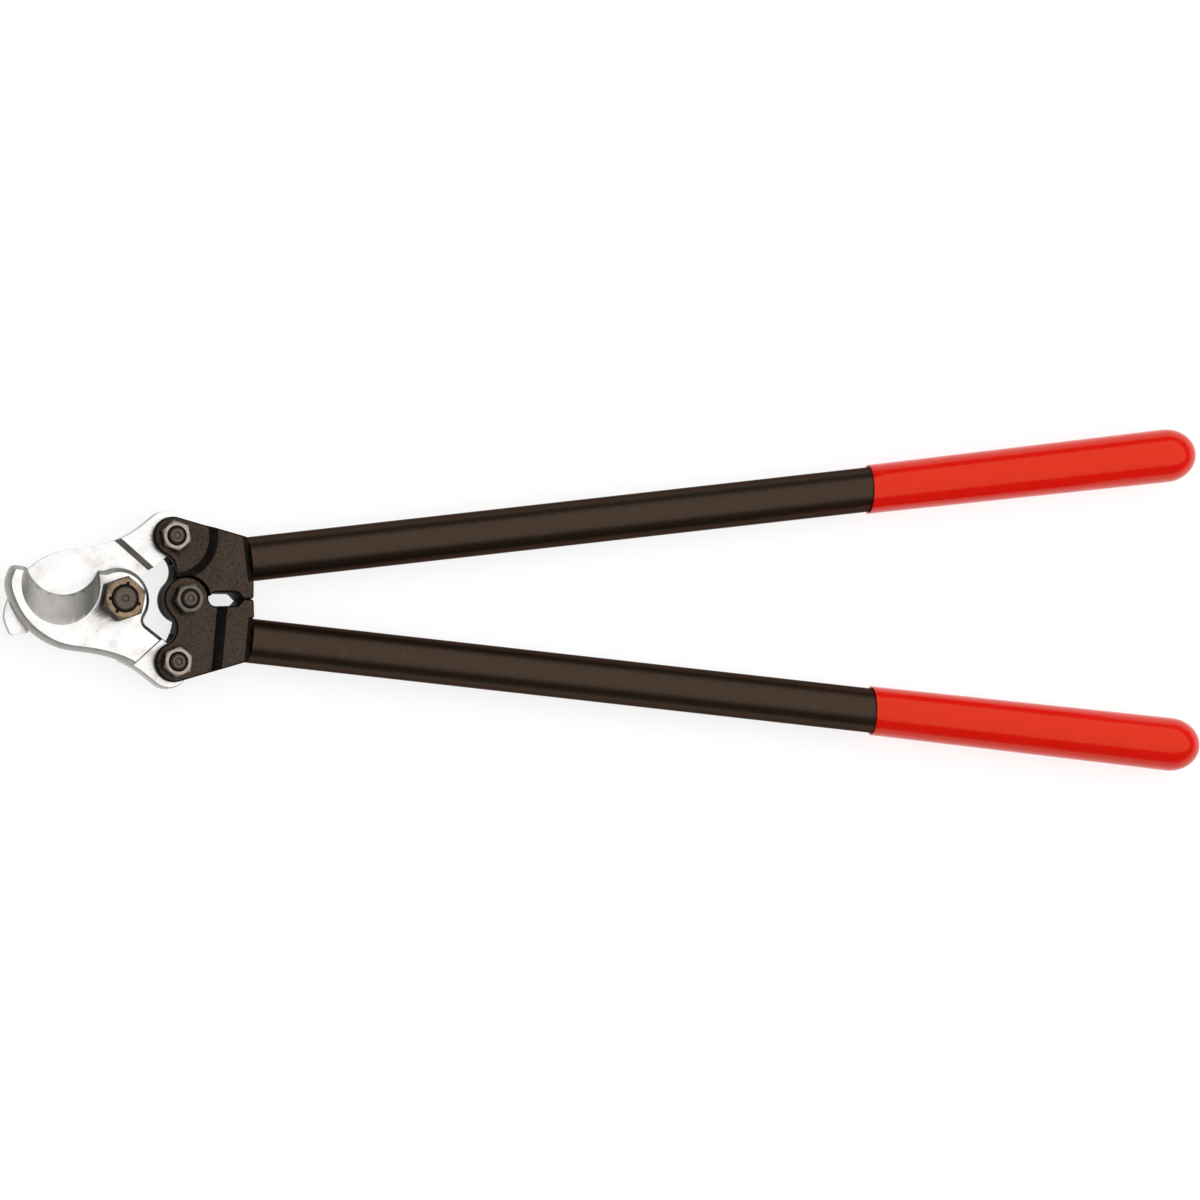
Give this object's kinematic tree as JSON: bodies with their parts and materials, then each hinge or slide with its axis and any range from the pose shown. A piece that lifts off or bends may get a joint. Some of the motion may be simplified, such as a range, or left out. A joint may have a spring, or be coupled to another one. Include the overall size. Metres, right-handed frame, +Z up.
{
  "type": "bolt cutters",
  "caption": "Two-handed cutters with hooked shear blades, a toggle linkage of forged handle heads on a shared hinge, steel tube handles and dipped grips, shown closed.",
  "frame": {"origin": "middle of the tool's footprint on the bench it lies on, tool closed", "axes": "+X from the jaws to the grips, +Y across the tool towards the upper handle, +Z up through the tool's thickness"},
  "size_m": [0.5906, 0.164, 0.0338],
  "materials": {
    "blade": "polished, light wear",
    "forging": "black-brown satin coat, faintly speckled",
    "tube": "black-brown semi-gloss coat",
    "grip": "dipped soft vinyl, glossy red",
    "plug": "plain",
    "gold_zinc": "yellow zinc on steel, dulled",
    "black_oxide": "black oxide on steel",
    "cream_zinc": "pale yellow zinc on steel",
    "grey_zinc": "clear zinc on steel, dulled"
  },
  "bodies": {
    "lower_handle": {"lower_head": "forging", "lower_tube": "tube", "lower_plug": "plug", "lower_grip": "grip", "hinge_bolt": "black_oxide", "hinge_nut": "grey_zinc", "hinge_washer": "black_oxide", "lower_link_bolt": "black_oxide", "lower_link_nut": "cream_zinc", "lower_link_washer": "black_oxide"},
    "upper_handle": {"upper_head": "forging", "upper_tube": "tube", "upper_plug": "plug", "upper_grip": "grip", "upper_link_bolt": "black_oxide", "upper_link_nut": "cream_zinc", "upper_link_washer": "black_oxide"},
    "lower_blade": {"lower_blade": "blade", "pivot_bolt": "black_oxide", "pivot_nut": "gold_zinc", "pivot_washer": "black_oxide"},
    "upper_blade": {"upper_blade": "blade"}
  },
  "joints": [
    {"name": "handle_hinge", "type": "hinge", "parent": "lower_handle", "child": "upper_handle", "pos_m": [-0.20739, 0, 0.01655], "axis": [0, 0, 1], "range_deg": [0, 108]},
    {"name": "lower_blade_link", "type": "hinge", "parent": "lower_handle", "child": "lower_blade", "pos_m": [-0.21359, -0.0301, 0.01655], "axis": [0, 0, 1], "range_deg": [0, 82.4]},
    {"name": "upper_blade_link", "type": "hinge", "parent": "upper_handle", "child": "upper_blade", "pos_m": [-0.21359, 0.0301, 0.01655], "axis": [0, 0, 1], "range_deg": [-82.4, 0]}
  ],
  "couplings": [
    {"joint": "lower_blade_link", "follows": "handle_hinge", "ratio": 0.762},
    {"joint": "upper_blade_link", "follows": "handle_hinge", "ratio": -0.762}
  ]
}
